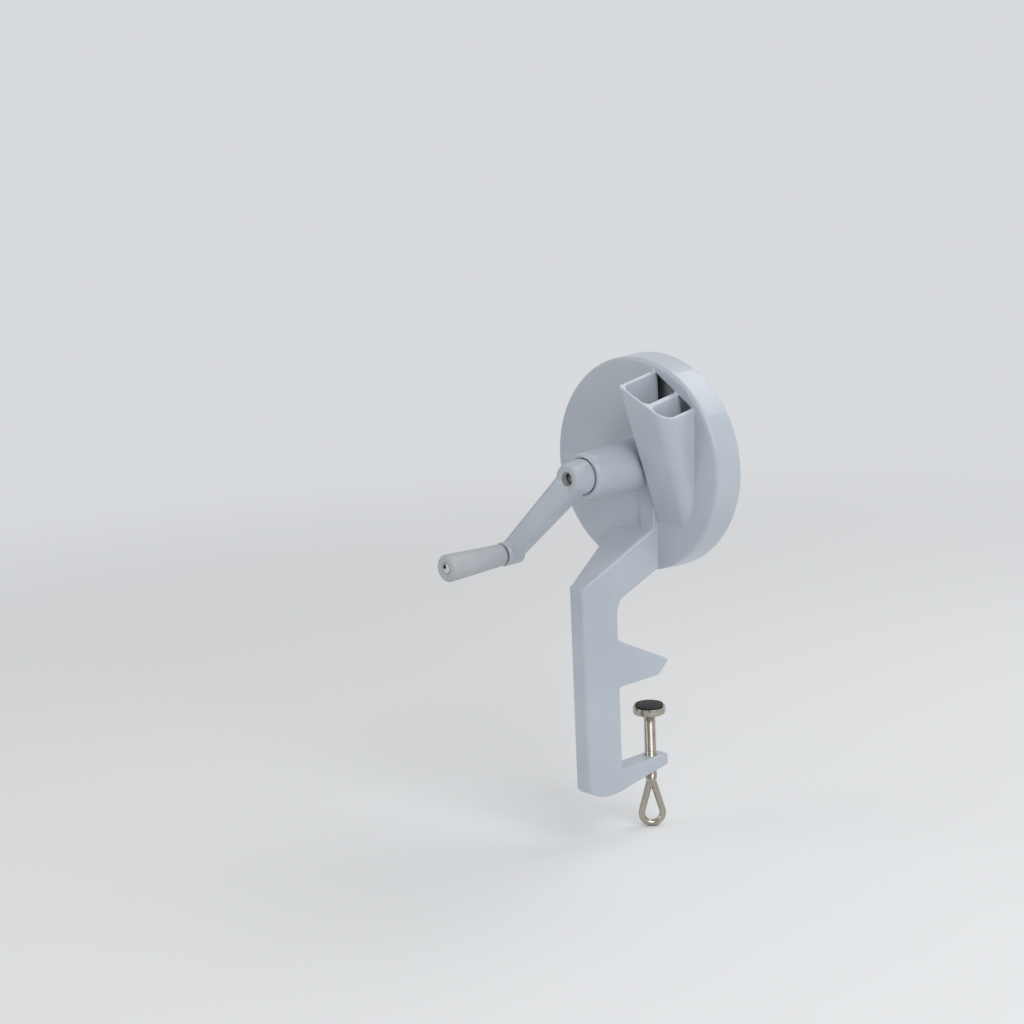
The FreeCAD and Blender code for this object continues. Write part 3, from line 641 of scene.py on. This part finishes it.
# %% Shaft with its threaded tail
shaft_thread_radius = 5.0
shaft_thread_depth = 0.8
shaft_pitch = 1.5
shaft_chamfer = 0.5
tail_start = nut_high.y - 1.0 * MM
tail_length = (shaft_high.y - tail_start) / MM
shaft_mesh = merged("drive_shaft")
close_cut(shaft_mesh, (0, tail_start, 0), (0, 1, 0))
finish_piece(
    machined(shaft_mesh, 0.4), "turned_shaft", "rotor", shaft_steel,
    ["drive_shaft"])
tail_mesh = threaded_rod(
    shaft_thread_radius, shaft_pitch, shaft_thread_depth, tail_length, shaft_chamfer)
lay_along_y(tail_mesh, shaft_axis.x, tail_start, shaft_axis.z)
finish_piece(tail_mesh, "shaft_thread_tail", "rotor", shaft_steel, (), 60)

# %% [markdown]
# The hub's thread is made as in the workshop: a plug is drilled and tapped, here by
# taking the tap's shape, a threaded rod, away from a plain bar with a Boolean.

# %% Tapped thread inside the hub
hub_depth = 4.7
tap_radius = 5.04
tap_thread_depth = 0.62
plug_radius = 5.3
plug_length = hub_depth - 0.3
tap = threaded_rod(tap_radius, shaft_pitch, tap_thread_depth, hub_depth + 2)
lay_along_y(tap, shaft_axis.x, shaft_low.y - (hub_depth + 1) * MM, shaft_axis.z)
tap_object = add_object("tap", mesh_data("tap", tap))
plug = bmesh.new()
bmesh.ops.create_cone(
    plug, cap_ends=True, segments=64, radius1=plug_radius * MM, radius2=plug_radius * MM,
    depth=plug_length * MM)
lay_along_y(plug, shaft_axis.x, shaft_low.y - plug_length / 2 * MM, shaft_axis.z)
plug_object = add_object("plug", mesh_data("plug", plug))
tapping = plug_object.modifiers.new("Tapping", "BOOLEAN")
tapping.operation = "DIFFERENCE"
tapping.solver = "EXACT"
tapping.object = tap_object
tapped = bmesh.new()
tapped.from_mesh(bpy.data.meshes.new_from_object(
    plug_object.evaluated_get(bpy.context.evaluated_depsgraph_get())))
for used in (plug_object, tap_object):
    bpy.data.objects.remove(used)
finish_piece(tapped, "hub_thread", "rotor", wheel_metal, (), 50)

# %% [markdown]
# The six knife screws are one CAD node of six loose shells. Each shell's box gives
# its axis, and a threaded tail goes where its plain shank leaves the nut.

# %% Knife screws
def loose_shells(mesh):
    """Lists of the points of each separate shell."""
    left = set(mesh.verts)
    shells = []
    while left:
        shell = set()
        front = [left.pop()]
        while front:
            point = front.pop()
            shell.add(point)
            for edge in point.link_edges:
                other = edge.other_vert(point)
                if other in left:
                    left.remove(other)
                    front.append(other)
        shells.append(shell)
    return shells


screw_radius = 2.0
screw_pitch = 0.7
screw_thread_depth = 0.4
screw_chamfer = 0.25
tail_overlap = 0.6
shank_overlap = 0.4
screws_mesh = merged("knife_screws")
nuts_back_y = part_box("knife_nuts")[1].y
tails_mesh = bmesh.new()
for shell in loose_shells(screws_mesh):
    xs = [point.co.x for point in shell]
    zs = [point.co.z for point in shell]
    end_y = max(point.co.y for point in shell)
    screw_tail_length = (end_y - nuts_back_y) / MM + tail_overlap
    tail = threaded_rod(
        screw_radius, screw_pitch, screw_thread_depth, screw_tail_length, screw_chamfer)
    lay_along_y(
        tail, (min(xs) + max(xs)) / 2, nuts_back_y - tail_overlap * MM,
        (min(zs) + max(zs)) / 2)
    tail_data = mesh_data("tail", tail)
    tails_mesh.from_mesh(tail_data)
    bpy.data.meshes.remove(tail_data)
shank_rims = cut_square(screws_mesh, (0, nuts_back_y - shank_overlap * MM, 0), (0, 1, 0))
bmesh.ops.holes_fill(screws_mesh, edges=shank_rims)
finish_piece(
    machined(screws_mesh, 0.15), "knife_screw_set", "rotor", zinc,
    ["knife_screws"])
finish_piece(tails_mesh, "knife_screw_tails", "rotor", zinc, (), 60)

# %% [markdown]
# ### Grip and its pin
#
# The grip is a moulded tube that swells to its free end, where the pin's bright domed
# head sits in a shallow recess. Both are turned shapes, so the CAD copies only need
# smooth shading and a fine edge.

# %% Grip and pin
finish_piece(
    machined(merged("grip"), 0.2, sharp_deg=40), "moulded_grip", "grip",
    grip_abs, ["grip"], 40)
finish_piece(
    machined(merged("grip_pin"), 0.2), "domed_grip_pin", "rotor", chrome,
    ["grip_pin"], 40)

# %% [markdown]
# ## Floor, light and camera
#
# The floor is a wide disc at the slicer's lowest point. It keeps the shadow near the
# object and fades out further away, where the plain pale surroundings take over, so
# no horizon shows from any side. Rays that a metal reflects see the same pale room.

# %% Pale floor that fades into the surroundings
room_colour = linear("#d8dadd")
floor_radius = 1.6
fade_start = 0.5
fade_end = 1.5
floor_mesh = bmesh.new()
bmesh.ops.create_circle(floor_mesh, cap_ends=True, segments=128, radius=floor_radius)
bmesh.ops.translate(floor_mesh, verts=floor_mesh.verts, vec=(0, 0, cad_box[0].z))
floor_data = mesh_data("pale_floor", floor_mesh)
floor = add_object("pale_floor", floor_data)

floor_material, floor_tree, floor_shader, floor_place = start_material(
    "pale_floor_paper", Roughness=1.0, Specular_IOR_Level=0.0, Base_Color=linear("#eceef0"))
floor_flat = add(floor_tree, "ShaderNodeVectorMath", {
    0: floor_place, 1: (1, 1, 0)}, operation="MULTIPLY").outputs[0]
floor_reach = add(
    floor_tree, "ShaderNodeVectorMath", {0: floor_flat}, operation="LENGTH").outputs["Value"]
floor_alpha = add(floor_tree, "ShaderNodeMapRange", {
    "Value": floor_reach, "From Min": fade_start, "From Max": fade_end,
    "To Min": 1.0, "To Max": 0.0}, interpolation_type="SMOOTHSTEP").outputs["Result"]
floor_tree.links.new(floor_alpha, floor_shader.inputs["Alpha"])
floor_data.materials.append(floor_material)

# %% Surroundings: pale to the eye and to metal, softer as light
room_light = 0.46
world = bpy.data.worlds.new("pale_room")
bpy.context.scene.world = world
world.use_nodes = True
room = world.node_tree
room.nodes.clear()
rays = add(room, "ShaderNodeLightPath").outputs
seen = add(room, "ShaderNodeMath", {
    0: rays["Is Camera Ray"], 1: rays["Is Glossy Ray"]}, operation="MAXIMUM").outputs[0]
seen = add(room, "ShaderNodeMath", {
    0: seen, 1: rays["Is Transmission Ray"]}, operation="MAXIMUM").outputs[0]
light = add(room, "ShaderNodeBackground", {"Color": linear("#ffffff"), "Strength": room_light})
pale = add(room, "ShaderNodeBackground", {"Color": room_colour, "Strength": 1.0})
choice = add(room, "ShaderNodeMixShader", {
    0: seen, 1: light.outputs["Background"], 2: pale.outputs["Background"]})
add(room, "ShaderNodeOutputWorld", {"Surface": choice.outputs["Shader"]})

# %% [markdown]
# A large soft lamp stands high on the right of the camera, a weaker one fills in
# from the left, and a wide one behind draws a clean light on the rim.

# %% Soft studio lamps
def softbox(name, place, width, height, watts):
    """A rectangular soft lamp that looks at the slicer's middle."""
    lamp = bpy.data.lights.new(name, "AREA")
    lamp.shape = "RECTANGLE"
    lamp.size = width
    lamp.size_y = height
    lamp.energy = watts
    holder = add_object(name, lamp)
    holder.location = place
    aim = (cad_box[0] + cad_box[1]) / 2 - Vector(place)
    holder.rotation_euler = aim.to_track_quat("-Z", "Y").to_euler()
    print(name, watts, "W")


softbox("key_softbox", (1.5, -0.5, 1.1), width=1.2, height=1.2, watts=15)
softbox("fill_softbox", (-0.9, -1.4, 0.6), width=0.9, height=0.9, watts=4.5)
softbox("rim_softbox", (0.3, 1.0, 1.3), width=1.2, height=0.8, watts=7)

# %% [markdown]
# Chrome and nickel only show what stands around them, and in a room that is pale all
# over they look like white paint. Two dark cards stand beside the set, as product
# photographers use them. Only reflections see them.

# %% Dark cards for the bright metals
card_material = start_material("black_card", Base_Color=linear("#26221e"), Roughness=0.9)[0]


def dark_card(name, place, width, height):
    """An upright black card that faces the slicer and shows in reflections only."""
    mesh = bmesh.new()
    bmesh.ops.create_grid(mesh, x_segments=1, y_segments=1, size=0.5)
    bmesh.ops.scale(mesh, verts=mesh.verts, vec=(width, height, 1))
    data = mesh_data(name, mesh)
    card = add_object(name, data)
    card.location = place
    aim = (cad_box[0] + cad_box[1]) / 2 - Vector(place)
    card.rotation_euler = aim.to_track_quat("Z", "Y").to_euler()
    data.materials.append(card_material)
    for ray in ("camera", "diffuse", "shadow", "transmission", "volume_scatter"):
        setattr(card, "visible_" + ray, False)


dark_card("left_dark_card", (-0.75, -0.55, 0.1), width=0.35, height=1.0)
dark_card("right_dark_card", (0.95, -0.95, -0.1), width=0.22, height=1.0)

# %% [markdown]
# The camera looks down a little on the slicer from its right front, as the picture
# does: 46.5 degrees round and 11.5 degrees up, rolled a little, from 1.37 m. Its lens
# follows from the focal length in pixels of a 1024 pixel wide image.

# %% Camera at the picture's viewing angle
image_width = 1024
focal_pixels = 2084
sensor_width = 36.0
view_azimuth = math.radians(46.5)
view_elevation = math.radians(11.5)
view_roll = math.radians(-2.5)
view_distance = 1.366
view_target = Vector((-49.9, -72.2, 118.0)) * MM

level_right = Vector((math.cos(view_azimuth), math.sin(view_azimuth), 0))
onwards = Vector((
    -math.sin(view_azimuth) * math.cos(view_elevation),
    math.cos(view_azimuth) * math.cos(view_elevation),
    -math.sin(view_elevation)))
level_up = level_right.cross(onwards)
right = level_right * math.cos(view_roll) + level_up * math.sin(view_roll)
up = level_up * math.cos(view_roll) - level_right * math.sin(view_roll)
lens = bpy.data.cameras.new("camera")
lens.sensor_width = sensor_width
lens.lens = focal_pixels * sensor_width / image_width
camera = add_object("camera", lens)
turn = Matrix((right, up, -onwards)).transposed().to_4x4()
camera.matrix_world = Matrix.Translation(view_target - onwards * view_distance) @ turn
bpy.context.scene.camera = camera
bpy.context.scene.view_settings.view_transform = "Standard"
print("lens", round(lens.lens, 1), "mm")
